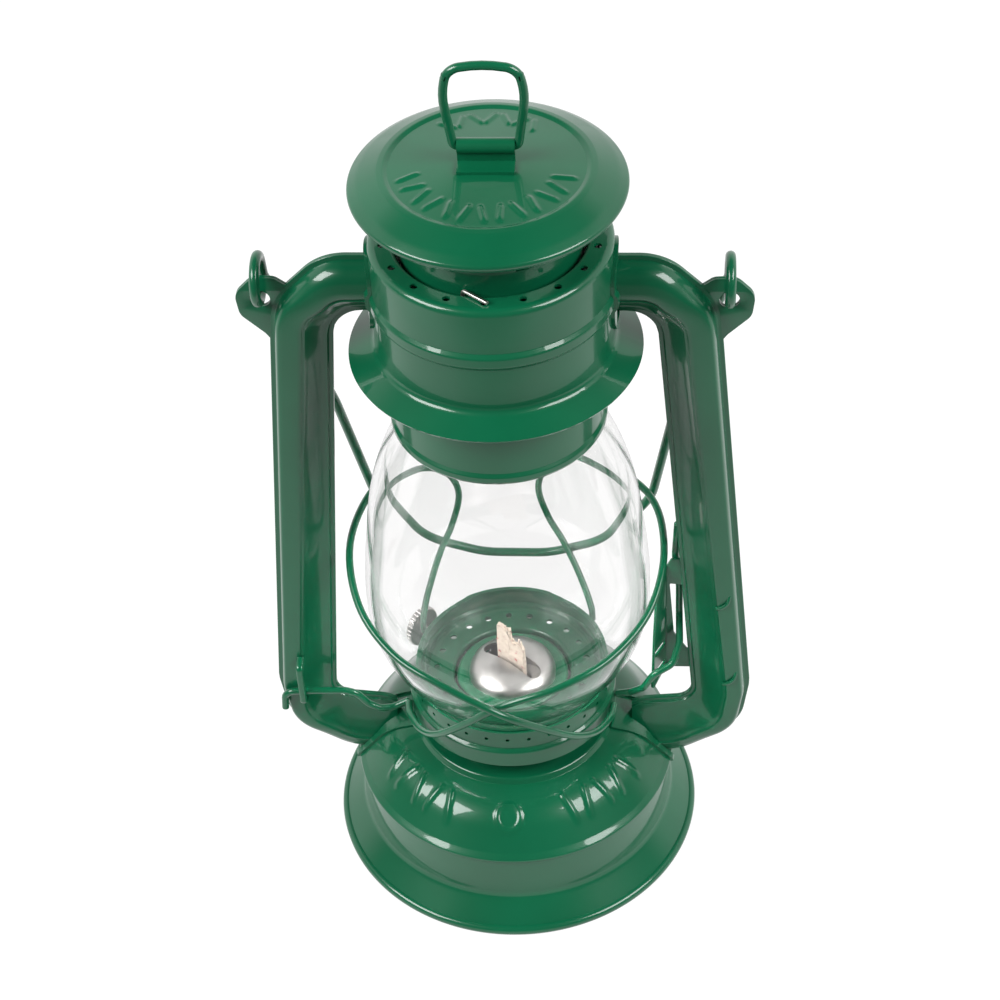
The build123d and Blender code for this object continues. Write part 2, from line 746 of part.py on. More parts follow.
def make_lift_bracket():
    """The bent strip on the right tube that holds the lift wire at two heights."""
    frame = Pos(50.9, 82.0) * Rectangle(12.4, 54.0)
    frame = frame - offset(flange_face(), 0.2 - TUBE_FLANGE, kind=Kind.ARC)
    frame = frame - Pos(49.6, 83.5) * Rectangle(6.6, 33.0)
    frame = Rot(90, 0, 0) * extrude(frame, SHEET)
    frame = Pos(0, 2 * SHEET + 0.02, 0) * frame
    leg = Pos(44.7, -2.2, 74.5) * Box(SHEET, 9.2, 47.0)
    track = Pos(44.7, -3.4, 66.8) * Box(3, 2.9, LIFT_TRAVEL + 5.2)
    notches = []
    for rise in (0, LIFT_TRAVEL):
        notches.append(Pos(44.7, -1.2, 62.8 + rise) * Box(3, 3.4, 3.0))
    return frame + leg - track - notches


def make_hinge_strap():
    """The upright strap on the left tube's face that the hinge arm slides in."""
    face = TUBE_DEPTH
    inner = GAP + 2 * GUARD_WIRE_R + GAP
    low, high = 53.0, 70.0
    y = -(face + inner)
    strap = Pos(-66.0, y - SHEET / 2, (low + high) / 2) * Box(2.6, SHEET, high - low)
    for z in (low + SHEET / 2, high - SHEET / 2):
        strap = strap + Pos(-66.0, (y - face) / 2, z) * Box(2.6, inner, SHEET)
    return strap


# ---------------------------------------------------------------- bail


def bail_point(x, along, across=EYE_R):
    """A point of the hanging bail: along its lean from the eyes' height, and across from their centres."""
    lean = radians(BAIL_REST_ANGLE)
    y = across * cos(lean) + along * sin(lean)
    z = EAR_Z + EYE_R + across * sin(lean) - along * cos(lean)
    return (x, y, z)


def bail_hook(x):
    """The hooked end round one ear, from its tip to where the bail leaves it, as tangent arcs."""
    turned = [BAIL_HOOK_TURN * index / 6 for index in range(6, -1, -1)]
    ring = []
    for turn in turned:
        along = -EYE_R * sin(radians(turn))
        ring.append(bail_point(x, along, EYE_R * cos(radians(turn))))
    return [ThreePointArc(*ring[first:first + 3]) for first in (0, 2, 4)]


def make_bail():
    """The carrying bail, hanging at the back, with a hooked eye through each ear."""
    sag = BAIL_REACH - 9.0
    half = [(EAR_X, 0.0), (EAR_X, 6.0), (49.5, 66.0), (42.5, 116.0), (30.0, sag), (11.0, BAIL_REACH)]
    points = [bail_point(-x, along) for x, along in half]
    points += [bail_point(x, along) for x, along in reversed(half)]
    bends = [8, 60, 30, 22, 22, 22, 22, 30, 60, 8]
    loop = FilletPolyline(*points, radius=bends)
    path = Wire(bail_hook(-EAR_X) + loop.edges() + bail_hook(EAR_X))
    start = Plane(origin=path @ 0, z_dir=path % 0)
    return sweep(start * Circle(BAIL_WIRE_R), path=path)


def largest(shape):
    """The biggest solid of a shape, without any offcuts."""
    return shape.solids().sort_by(SortBy.VOLUME)[-1]


def write(name, shape):
    os.makedirs("parts", exist_ok=True)
    export_step(shape, "parts/" + name + ".step")
    print(name, len(shape.solids()), round(shape.volume, 1))


pieces = {
    "tank_shell": make_tank_shell(),
    "tank_bottom": make_tank_bottom(),
    "burner_collar": make_burner_collar(),
    "filler_neck": make_filler_neck(),
    "filler_cap": make_filler_cap(),
    "filler_gasket": make_filler_gasket(),
    "burner_body": make_burner_body(),
    "wick_tube": make_wick_tube(),
    "burner_dome": make_burner_dome(),
    "wick": make_wick(),
    "wick_shaft": make_wick_shaft(),
    "wick_wheels": make_wick_wheels(),
    "wick_knob": make_wick_knob(),
    "globe_plate": make_globe_plate(),
    "plate_skirt": make_plate_skirt(),
    "globe": make_globe(),
    "guard_wire_outer": make_guard_wire(True),
    "guard_wire_inner": make_guard_wire(False),
    "hinge_arm": make_hinge_arm(),
    "lift_wire": make_lift_wire(),
    "bell": make_bell(),
    "chimney": make_chimney(),
    "cap": make_cap(),
    "ring_bracket": make_ring_bracket(),
    "carry_ring": make_carry_ring(),
    "hood_shell": make_hood_shell(),
    "crown_spring": make_crown_spring(),
    "left_hood_saddle": make_hood_saddle(True),
    "right_hood_saddle": make_hood_saddle(False),
    "left_foot_collar": make_foot_collar(True),
    "right_foot_collar": make_foot_collar(False),
    "hinge_strap": make_hinge_strap(),
    "lift_bracket": make_lift_bracket(),
    "bail": make_bail(),
}
pieces.update(make_tube_halves())

for piece_name, piece_shape in pieces.items():
    write(piece_name, piece_shape)
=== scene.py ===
import json
import math
import random

import bmesh
import bpy
from mathutils import Matrix, Vector


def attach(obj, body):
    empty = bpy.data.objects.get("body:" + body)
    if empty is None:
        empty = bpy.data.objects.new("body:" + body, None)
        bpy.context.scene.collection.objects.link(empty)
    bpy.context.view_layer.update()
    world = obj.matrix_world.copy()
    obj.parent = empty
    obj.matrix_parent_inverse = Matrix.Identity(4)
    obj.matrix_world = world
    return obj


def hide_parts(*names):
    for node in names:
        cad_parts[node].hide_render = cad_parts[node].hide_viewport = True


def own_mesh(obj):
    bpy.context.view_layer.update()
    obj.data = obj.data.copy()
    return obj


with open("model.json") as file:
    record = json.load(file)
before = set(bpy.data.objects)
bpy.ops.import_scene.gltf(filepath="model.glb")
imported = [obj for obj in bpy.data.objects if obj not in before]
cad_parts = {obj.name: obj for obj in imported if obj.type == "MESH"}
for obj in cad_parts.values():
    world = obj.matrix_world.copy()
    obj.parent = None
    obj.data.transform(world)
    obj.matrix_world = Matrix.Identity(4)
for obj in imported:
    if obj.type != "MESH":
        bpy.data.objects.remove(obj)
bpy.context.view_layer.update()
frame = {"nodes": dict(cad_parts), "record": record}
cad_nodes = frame["nodes"]

# Lengths of the lantern's pieces are in millimetres, and the meshes are made in metres.
MM = 0.001
SHEET = 0.8

# Camera: angles in degrees, lengths in metres, lens in millimetres.
ELEVATION = 43.526
TURN = 5.0
ROLL = -3.01
DISTANCE = 0.70082
AIM = Vector((-0.00112, -0.0001, 0.13175))
LENS = 87.59
SENSOR = 36.0

# Side tubes: the right-hand one's outlines in X and Z, as corners and the radii of the bends.
TUBE_OUTER = [
    (20.0, 221.0),
    (45.5, 221.0),
    (60.4, 206.0),
    (72.9, 56.0),
    (70.6, 38.0),
    (52.0, 25.0),
    (20.0, 25.0),
]
TUBE_OUTER_BENDS = [16, 18, 16, 16, 20]
TUBE_INNER = [(20.0, 202.4), (43.4, 202.4), (55.4, 49.4), (38.6, 47.6), (24.0, 34.7)]
TUBE_INNER_BENDS = [8.5, 5.0, 7.0]
TUBE_MIDDLE = [(31.4, 211.7), (51.3, 211.7), (65.5, 36.5), (37.0, 35.5)]
TUBE_MIDDLE_BENDS = [15, 17]
TUBE_DEPTH = 6.2
TUBE_RIM = 1.4
ELBOW_Z = 206.0
LANCE_HEIGHTS = (95.5, 62.5)
EAR_HOLE = (62.8, 206.2)
EAR_HOLE_R = 2.7

# Wires
GUARD_WIRE_R = 1.1
RING_WIRE_R = 1.2

# Cap, tank and globe
CAP_TOP_Z = 250.2
CAP_RIDGE_R = 27.8
CAP_RIM_R = 36.2
CAP_RIM_Z = 244.4
TANK_TOP_Z = 43.6
BASE_R = 57.0
WALL_R = 48.8
GLASS = 1.8

# Wick
WICK_TURN = -36.0
WICK_WIDTH = 10.0
WICK_THICK = 2.0


# ---------------------------------------------------------------- view and light


def add_camera():
    """The view: from the front and above, turned a little to the lantern's right."""
    level = math.radians(ELEVATION)
    turn = math.radians(TURN)
    roll = math.radians(ROLL)
    ahead = Vector((-math.sin(turn), math.cos(turn), 0.0))
    forward = ahead * math.cos(level) - Vector((0, 0, math.sin(level)))
    flat_right = Vector((math.cos(turn), math.sin(turn), 0.0))
    flat_up = flat_right.cross(forward)
    right = math.cos(roll) * flat_right + math.sin(roll) * flat_up
    up = math.cos(roll) * flat_up - math.sin(roll) * flat_right
    data = bpy.data.cameras.new("camera")
    data.lens = LENS
    data.sensor_width = SENSOR
    camera = bpy.data.objects.new("camera", data)
    matrix = Matrix((right, up, -forward)).transposed().to_4x4()
    matrix.translation = AIM - forward * DISTANCE
    camera.matrix_world = matrix
    bpy.context.scene.collection.objects.link(camera)
    bpy.context.scene.camera = camera


def add_softbox(name, azimuth, elevation, distance, size, watts):
    """A large rectangular light on a sphere round the lantern, aimed at its middle."""
    data = bpy.data.lights.new(name, "AREA")
    data.shape = "RECTANGLE"
    data.size, data.size_y = size
    data.energy = watts
    light = bpy.data.objects.new(name, data)
    a, e = math.radians(azimuth), math.radians(elevation)
    away = Vector((math.cos(a) * math.cos(e), math.sin(a) * math.cos(e), math.sin(e)))
    light.location = Vector((0, 0, 0.13)) + distance * away
    light.rotation_euler = (-away).to_track_quat("-Z", "Y").to_euler()
    bpy.context.scene.collection.objects.link(light)


def smooth_range(tree, source, low, high, at_low, at_high):
    """A node that maps one range of a value smoothly to another."""
    node = tree.nodes.new("ShaderNodeMapRange")
    node.interpolation_type = "SMOOTHSTEP"
    node.inputs["From Min"].default_value = low
    node.inputs["From Max"].default_value = high
    node.inputs["To Min"].default_value = at_low
    node.inputs["To Max"].default_value = at_high
    tree.links.new(source, node.inputs["Value"])
    return node.outputs[0]


def add_world():
    """A bright backdrop behind, up to about 45 degrees, and a dark room overhead and in front."""
    world = bpy.data.worlds.new("studio")
    bpy.context.scene.world = world
    world.use_nodes = True
    tree = world.node_tree
    nodes, links = tree.nodes, tree.links
    background = nodes["Background"]
    background.inputs["Color"].default_value = (1, 1, 1, 1)
    place = nodes.new("ShaderNodeTexCoord")
    split = nodes.new("ShaderNodeSeparateXYZ")
    links.new(place.outputs["Generated"], split.inputs[0])
    behind = smooth_range(tree, split.outputs["Y"], -0.1, 0.25, 0.08, 1.0)
    overhead = smooth_range(tree, split.outputs["Z"], 0.60, 0.80, 1.0, 0.10)
    both = nodes.new("ShaderNodeMath")
    both.operation = "MULTIPLY"
    links.new(behind, both.inputs[0])
    links.new(overhead, both.inputs[1])
    path = nodes.new("ShaderNodeLightPath")
    mix = nodes.new("ShaderNodeMix")
    mix.data_type = "FLOAT"
    links.new(path.outputs["Is Camera Ray"], mix.inputs[0])
    links.new(both.outputs[0], mix.inputs[2])
    mix.inputs[3].default_value = 1.0
    links.new(mix.outputs[0], background.inputs["Strength"])


def add_floor():
    """The plain white floor, lit from within so that it stays even.

    It looks white to the camera and through the glass. What the enamel mirrors is dimmer, and it is
    dark well in front.
    """
    size = 6.0
    corners = [(-size, -size, 0), (size, -size, 0), (size, size, 0), (-size, size, 0)]
    mesh = bpy.data.meshes.new("floor")
    mesh.from_pydata(corners, [], [(0, 1, 2, 3)])
    floor = bpy.data.objects.new("floor", mesh)
    floor.location.z = -0.0002
    bpy.context.scene.collection.objects.link(floor)
    material, tree, shader = new_material("floor")
    shader.inputs["Base Color"].default_value = (0.12, 0.12, 0.12, 1)
    shader.inputs["Roughness"].default_value = 0.9
    shader.inputs["Specular IOR Level"].default_value = 0.1
    shader.inputs["Emission Color"].default_value = (1, 1, 1, 1)
    place = tree.nodes.new("ShaderNodeTexCoord")
    split = tree.nodes.new("ShaderNodeSeparateXYZ")
    tree.links.new(place.outputs["Object"], split.inputs[0])
    glow = smooth_range(tree, split.outputs["Y"], -0.36, -0.20, 0.04, 0.75)
    path = tree.nodes.new("ShaderNodeLightPath")
    seen = tree.nodes.new("ShaderNodeMath")
    seen.operation = "MAXIMUM"
    tree.links.new(path.outputs["Is Camera Ray"], seen.inputs[0])
    tree.links.new(path.outputs["Is Transmission Ray"], seen.inputs[1])
    mix = tree.nodes.new("ShaderNodeMix")
    mix.data_type = "FLOAT"
    tree.links.new(seen.outputs[0], mix.inputs[0])
    tree.links.new(glow, mix.inputs[2])
    mix.inputs[3].default_value = 0.92
    tree.links.new(mix.outputs[0], shader.inputs["Emission Strength"])
    mesh.materials.append(material)


# ---------------------------------------------------------------- materials


def new_material(name):
    material = bpy.data.materials.new(name)
    material.use_nodes = True
    tree = material.node_tree
    return material, tree, tree.nodes["Principled BSDF"]


def noise(tree, scale, detail, place="Object"):
    """A cloud texture in the object's own space."""
    space = tree.nodes.new("ShaderNodeTexCoord")
    cloud = tree.nodes.new("ShaderNodeTexNoise")
    cloud.inputs["Scale"].default_value = scale
    cloud.inputs["Detail"].default_value = detail
    tree.links.new(space.outputs[place], cloud.inputs["Vector"])
    return cloud.outputs["Fac"]


def ramp(tree, source, stops):
    """A colour ramp with the given positions and colours."""
    node = tree.nodes.new("ShaderNodeValToRGB")
    elements = node.color_ramp.elements
    for index, (position, colour) in enumerate(stops):
        element = elements[index] if index < 2 else elements.new(position)
        element.position = position
        element.color = (*colour, 1)
    tree.links.new(source, node.inputs["Fac"])
    return node.outputs["Color"]


def bump(tree, shader, source, strength, distance, coat=False):
    node = tree.nodes.new("ShaderNodeBump")
    node.inputs["Strength"].default_value = strength
    node.inputs["Distance"].default_value = distance
    tree.links.new(source, node.inputs["Height"])
    tree.links.new(node.outputs["Normal"], shader.inputs["Normal"])
    if coat:
        tree.links.new(node.outputs["Normal"], shader.inputs["Coat Normal"])


def enamel(name="enamel", painted_shade_factor=1.0):
    """Glossy green baked enamel: faintly clouded, with an orange-peel surface. A factor below 1 darkens its
    colour as painted shade.
    """
    material, tree, shader = new_material(name)
    cloud = noise(tree, 30.0, 4.0)
    dark = [painted_shade_factor * value for value in (0.0020, 0.092, 0.038)]
    light = [painted_shade_factor * value for value in (0.0030, 0.114, 0.049)]
    colour = ramp(tree, cloud, [(0.3, dark), (0.7, light)])
    tree.links.new(colour, shader.inputs["Base Color"])
    shader.inputs["Roughness"].default_value = 0.3
    shader.inputs["Specular IOR Level"].default_value = 0.25
    shader.inputs["Coat Weight"].default_value = 0.65
    shader.inputs["Coat Roughness"].default_value = 0.05
    bump(tree, shader, noise(tree, 160.0, 1.5), 0.05, 0.0004, coat=True)
    return material


def steel(name, colour, roughness):
    """Plated steel with a brushed, slightly clouded surface."""
    material, tree, shader = new_material(name)
    shader.inputs["Base Color"].default_value = (*colour, 1)
    shader.inputs["Metallic"].default_value = 1.0
    cloud = noise(tree, 220.0, 3.0)
    clouded = smooth_range(tree, cloud, 0.3, 0.7, roughness - 0.04, roughness + 0.04)
    tree.links.new(clouded, shader.inputs["Roughness"])
    bump(tree, shader, noise(tree, 900.0, 2.0), 0.02, 0.0002)
    return material


def glass():
    """Clear lamp glass with a faint grey tint."""
    material, _, shader = new_material("clear_glass")
    shader.inputs["Base Color"].default_value = (0.955, 0.952, 0.95, 1)
    shader.inputs["Roughness"].default_value = 0.0
    shader.inputs["IOR"].default_value = 1.46
    shader.inputs["Transmission Weight"].default_value = 1.0
    return material


def cotton():
    """Woven wick cotton, cream with a few red threads."""
    material, tree, shader = new_material("wick_cotton")
    threads = noise(tree, 700.0, 2.0)
    colour = ramp(
        tree, threads,
        [(0.30, (0.45, 0.08, 0.07)), (0.36, (0.56, 0.46, 0.37)), (0.62, (0.66, 0.56, 0.46))],
    )
    tree.links.new(colour, shader.inputs["Base Color"])
    shader.inputs["Roughness"].default_value = 0.95
    shader.inputs["Sheen Weight"].default_value = 0.3
    bump(tree, shader, noise(tree, 1600.0, 2.0), 0.6, 0.0003)
    return material


def rubber():
    material, tree, shader = new_material("gasket")
    colour = ramp(tree, noise(tree, 300.0, 2.0), [(0.3, (0.015, 0.015, 0.015)), (0.7, (0.03, 0.03, 0.03))])
    tree.links.new(colour, shader.inputs["Base Color"])
    shader.inputs["Roughness"].default_value = 0.65
    return material


# ---------------------------------------------------------------- mesh helpers


def rounded(points, radii, step=6.0):
    """A line along straight runs whose corners are arcs, divided every few degrees."""
    corners = [Vector(point) for point in points]
    path = [corners[0]]
    for before, corner, after, radius in zip(corners, corners[1:], corners[2:], radii):
        enter = (corner - before).normalized()
        leave = (after - corner).normalized()
        turn = enter.angle(leave)
        centre = corner + (leave - enter).normalized() * (radius / math.cos(turn / 2))
        arm = corner - enter * (radius * math.tan(turn / 2)) - centre
        count = max(2, math.ceil(math.degrees(turn) / step))
        for index in range(count + 1):
            angle = turn * index / count
            path.append(centre + arm * math.cos(angle) + enter * (radius * math.sin(angle)))
    path.append(corners[-1])
    return path


def rounded_loop(corners, radii, step=15.0):
    """A closed outline whose corners are arcs, begun in the middle of its last run."""
    start = (Vector(corners[-1]) + Vector(corners[0])) / 2
    return rounded([start, *corners, start], radii, step)[:-1]


def divided(path, longest):
    """The same line with its long runs divided."""
    result = [path[0]]
    for before, after in zip(path, path[1:]):
        count = max(1, math.ceil((after - before).length / longest))
        for index in range(1, count + 1):
            result.append(before.lerp(after, index / count))
    return result


def flowing(points, count=8):
    """A smooth curve through the points."""
    knots = [Vector(point) for point in points]
    knots = [2 * knots[0] - knots[1]] + knots + [2 * knots[-1] - knots[-2]]
    path = []
    for a, b, c, d in zip(knots, knots[1:], knots[2:], knots[3:]):
        for index in range(count):
            t = index / count
            square = 2 * a - 5 * b + 4 * c - d
            cube = 3 * b - a - 3 * c + d
            path.append(0.5 * (2 * b + (c - a) * t + square * t**2 + cube * t**3))
    path.append(knots[-2])
    return path


def piece(name, body, slot, finish, verts, faces, *nodes):
    """A smooth mesh object from millimetre points, which rides on a body and stands for CAD nodes."""
    mesh = bpy.data.meshes.new(name)
    mesh.from_pydata([Vector(v) * MM for v in verts], [], faces)
    mesh.validate()
    work = bmesh.new()
    work.from_mesh(mesh)
    bmesh.ops.recalc_face_normals(work, faces=work.faces)
    work.to_mesh(mesh)
    work.free()
    return settle(name, body, slot, finish, mesh, *nodes)


def settle(name, body, slot, finish, mesh, *nodes):
    mesh.shade_smooth()
    mesh.set_sharp_from_angle(angle=math.radians(38))
    mesh.materials.clear()
    mesh.materials.append(finish)
    thing = bpy.data.objects.new(name, mesh)
    bpy.context.scene.collection.objects.link(thing)
    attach(thing, body)
    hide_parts(*nodes)
    return thing


def loft(rings, closed):
    """Faces between rings of equal length; a closed loft joins its ends, and an open one has caps."""
    size = len(rings[0])
    verts = [point for ring in rings for point in ring]
    faces = []
    spans = len(rings) if closed else len(rings) - 1
    for row in range(spans):
        for column in range(size):
            a = row * size
            b = (row + 1) % len(rings) * size
            right = (column + 1) % size
            faces.append((a + column, a + right, b + right, b + column))
    if not closed:
        faces.append(tuple(range(size - 1, -1, -1)))
        faces.append(tuple(range(len(verts) - size, len(verts))))
    return verts, faces


def round_bar(path, radius, sides=16):
    """Rings of a round wire along a path, with softly rounded ends."""
    forward = (path[1] - path[0]).normalized()
    across = forward.orthogonal().normalized()
    rings = []
    for index, point in enumerate(path):
        before = path[max(index - 1, 0)]
        after = path[min(index + 1, len(path) - 1)]
        new_forward = (after - before).normalized()
        across = forward.rotation_difference(new_forward) @ across
        forward = new_forward
        other = forward.cross(across)
        ring = []
        for side in range(sides):
            angle = 2 * math.pi * side / sides
            ring.append(point + radius * (math.cos(angle) * across + math.sin(angle) * other))
        rings.append(ring)
    for end, inward in ((0, path[1] - path[0]), (-1, path[-2] - path[-1])):
        inward = inward.normalized()
        tip = [path[end].lerp(point, 0.55) - inward * radius * 0.35 for point in rings[end]]
        if end == 0:
            rings.insert(0, tip)
        else:
            rings.append(tip)
    return loft(rings, closed=False)


def sheet_section(points, radii, thickness=SHEET, longest=50.0, step=6.0):
    """A bent sheet's closed section: its centre line thickened both ways, with eased edges."""
    path = divided(rounded(points, radii, step), longest)
    sides = ([], [])
    for index, point in enumerate(path):
        along = (path[min(index + 1, len(path) - 1)] - path[max(index - 1, 0)]).normalized()
        normal = Vector((-along.y, along.x))
        sides[0].append(point + normal * thickness / 2)
        sides[1].append(point - normal * thickness / 2)
    first, last = path[0], path[-1]
    start = (path[0] - path[1]).normalized() * thickness * 0.3
    end = (path[-1] - path[-2]).normalized() * thickness * 0.3
    loop = sides[0] + [last.lerp(sides[0][-1], 0.5) + end, last.lerp(sides[1][-1], 0.5) + end]
    loop += sides[1][::-1] + [first.lerp(sides[1][0], 0.5) + start, first.lerp(sides[0][0], 0.5) + start]
    return loop


def lathe(section, steps, lift=None):
    """A closed section of radius and height, spun round the axis; lift raises its points by angle."""
    rings = []
    for step in range(steps):
        angle = 2 * math.pi * step / steps
        ring = []
        for radius, height in section:
            up = lift(radius, height, angle) if lift else 0.0
            ring.append((radius * math.cos(angle), radius * math.sin(angle), height + up))
        rings.append(ring)
    return loft(rings, closed=True)


def rib_height(radius, angle, ribs, length, width, height):
    """How far short raised ribs stand up at a place; each rib has a centre radius, an angle and a slant."""
    best = 0.0
    for rib_r, rib_angle, slant in ribs:
        across = radius * math.sin(angle - rib_angle)
        along = radius * math.cos(angle - rib_angle) - rib_r
        lean = math.radians(slant)
        u = across * math.cos(lean) - along * math.sin(lean)
        v = across * math.sin(lean) + along * math.cos(lean)
        far = math.hypot(u, max(0.0, abs(v) - length / 2))
        if far < width:
            t = 1 - far / width
            best = max(best, height * t * t * (3 - 2 * t))
    return best


def plate(outline, holes, thickness, place):
    """A flat plate with rounded edges from a 2-D outline and holes, put in place by a matrix."""
    edge = 0.12
    curve = bpy.data.curves.new("outline", "CURVE")
    curve.dimensions = "2D"
    curve.fill_mode = "BOTH"
    for loop in [outline] + holes:
        spline = curve.splines.new("POLY")
        spline.points.add(len(loop) - 1)
        for point, (x, y) in zip(spline.points, loop):
            point.co = (x, y, 0, 1)
        spline.use_cyclic_u = True
    curve.extrude = thickness / 2 - edge
    curve.bevel_depth = edge
    curve.bevel_resolution = 1
    curve.offset = -edge
    thing = bpy.data.objects.new("outline", curve)
    bpy.context.scene.collection.objects.link(thing)
    bpy.context.view_layer.update()
    mesh = bpy.data.meshes.new_from_object(thing.evaluated_get(bpy.context.evaluated_depsgraph_get()))
    bpy.data.objects.remove(thing)
    work = bmesh.new()
    work.from_mesh(mesh)
    bmesh.ops.remove_doubles(work, verts=work.verts, dist=0.01)
    work.transform(place)
    verts = [vert.co.copy() for vert in work.verts]
    faces = [tuple(vert.index for vert in face.verts) for face in work.faces]
    work.free()
    return verts, faces


def joined(*meshes):
    """Several vertex and face lists as one."""
    verts, faces = [], []
    for more_verts, more_faces in meshes:
        base = len(verts)
        verts += list(more_verts)
        faces += [tuple(base + index for index in face) for face in more_faces]
    return verts, faces


def turned(mesh, matrix):
    verts, faces = mesh
    return [matrix @ Vector(vert) for vert in verts], faces


def circle(x, y, radius, steps=32):
    turns = [2 * math.pi * index / steps for index in range(steps)]
    return [(x + radius * math.cos(turn), y + radius * math.sin(turn)) for turn in turns]


def at_angle(radius, angle, z=0.0):
    return (radius * math.cos(math.radians(angle)), radius * math.sin(math.radians(angle)), z)


# ---------------------------------------------------------------- side tubes


def meeting(origin, direction, outline):
    """Where a line from a point first meets an outline."""
    nearest = None
    for a, b in zip(outline, outline[1:]):
        edge = b - a
        det = direction.cross(edge)
        if abs(det) < 1e-9:
            continue
        away = a - origin
        along = away.cross(edge) / det
        share = away.cross(direction) / det
        if along > 0 and -1e-6 <= share <= 1 + 1e-6 and (nearest is None or along < nearest):
            nearest = along
    return origin + direction * nearest


def tube_skin(width, level, low):
    """The section of one tube half: places across from the outer rim, and how far out the skin stands.

    level is 1 where the tube runs level and 0 where it stands, and low is 0 at its top and 1 at its foot.
    """
    rise = 1.5 + 4.4 * level
    crease = 9.3 - 2.1 * low + 1.4 * level * (1 - 0.4 * low)
    crease = min(crease, width - 5.0)
    rise = min(rise, crease - TUBE_RIM - 0.4)
    foot = width - TUBE_RIM
    skin = [(0.0, 0.0), (0.0, SHEET - 0.22), (0.16, SHEET - 0.05), (0.4, SHEET)]
    skin += [(TUBE_RIM - 0.25, SHEET), (TUBE_RIM, SHEET + 0.15)]
    for index in range(1, 10):
        turn = index / 9 * math.pi / 2
        across = TUBE_RIM + 0.1 + rise * (1 - math.cos(turn))
        out = SHEET + 0.2 + (TUBE_DEPTH - SHEET - 0.2) * math.sin(turn)
        skin.append((across, out))
    start = skin[-1][0]
    flat = crease - start
    for index in range(1, 5):
        u = index / 5
        skin.append((start + flat * u, TUBE_DEPTH + 0.12 * math.sin(u * math.pi)))
    bead = 0.35 * level * (1 - low)
    skin.append((crease - 0.25, TUBE_DEPTH))
    skin.append((crease, TUBE_DEPTH - 0.22))
    skin.append((crease + 0.35, TUBE_DEPTH - 0.5))
    skin.append((crease + 0.8, TUBE_DEPTH - 0.6 + bead))
    for index in range(1, 11):
        u = index / 10
        out = (TUBE_DEPTH - 0.8) * (1 - u) ** 1.45 + 1.5 * u
        skin.append((crease + 0.8 + (foot - crease - 1.0) * u, out))
    skin += [(foot, SHEET + 0.3), (foot + 0.25, SHEET), (width - 0.4, SHEET), (width - 0.16, SHEET - 0.05)]
    skin += [(width, SHEET - 0.22), (width, 0.0)]
    return skin


def tube_half(lanced):
    """One stamped half of the right-hand tube, standing, with its outer face towards -Y."""
    outer = rounded(TUBE_OUTER, TUBE_OUTER_BENDS, 1.5)
    inner = rounded(TUBE_INNER, TUBE_INNER_BENDS, 1.5)
    middle = divided(rounded(TUBE_MIDDLE, TUBE_MIDDLE_BENDS, 2.0), 2.5)
    rings = []
    for index, point in enumerate(middle):
        along = (middle[min(index + 1, len(middle) - 1)] - middle[max(index - 1, 0)]).normalized()
        normal = Vector((-along.y, along.x))
        far = meeting(point, normal, outer)
        near = meeting(point, -normal, inner)
        width = (far - near).length
        level = abs(along.x) ** 2
        low = min(1.0, max(0.0, (200.0 - point.y) / 150.0))
        skin = tube_skin(width, level, low)
        back_scale = (width - 2 * (TUBE_RIM + SHEET)) / (width - 2 * TUBE_RIM)
        ring = [(far.lerp(near, t / width), out) for t, out in skin]
        for t, out in reversed(skin[6:-6]):
            t = width / 2 + (t - width / 2) * back_scale
            ring.append((far.lerp(near, t / width), max(0.02, out - SHEET)))
        rings.append([Vector((place.x, -out, place.y)) for place, out in ring])
    half = loft(rings, closed=False)
    lobe = [
        (54.5, 199.0),
        (54.5, 210.0),
        (58.4, 213.0),
        (64.4, 213.4),
        (69.7, 207.8),
        (68.9, 200.8),
        (62.6, 194.4),
        (59.0, 189.0),
    ]
    lobe = rounded_loop(lobe, [1, 2, 3.0, 5.0, 5.0, 4.5, 4, 1], 6.0)
    ear = plate(lobe, [circle(*EAR_HOLE, EAR_HOLE_R)], SHEET - 0.04, Matrix())
    ear = turned(ear, Matrix.Translation((0, -SHEET / 2 - 0.01, 0)) @ Matrix.Rotation(math.pi / 2, 4, "X"))
    parts = [half, ear]
    if lanced:
        for z in LANCE_HEIGHTS:
            parts.append(lance(z))
    return joined(*parts)


def lance(z):
    """A small curved nick pressed up from the tube's face."""
    slant = 12.5 / 150.0
    x = TUBE_OUTER[2][0] + slant * (ELBOW_Z - z) - 5.6
    ridge = [
        (x - 2.2, -TUBE_DEPTH, z - 1.6),
        (x - 0.6, -TUBE_DEPTH - 0.55, z - 0.6),
        (x + 0.9, -TUBE_DEPTH - 0.5, z + 1.0),
        (x + 1.6, -TUBE_DEPTH + 0.3, z + 3.4),
    ]
    return round_bar(flowing(ridge, 6), 0.55, 10)


def add_tubes(finish):
    for left in (True, False):
        for rear in (True, False):
            mesh = tube_half(lanced=not left and not rear)
            flip = Matrix.Diagonal((-1 if left else 1, -1 if rear else 1, 1, 1))
            name = ("left" if left else "right") + "_tube_" + ("rear" if rear else "front")
            piece(name + "_skin", "frame", "enamel", finish, *turned(mesh, flip), name)


# ---------------------------------------------------------------- wires


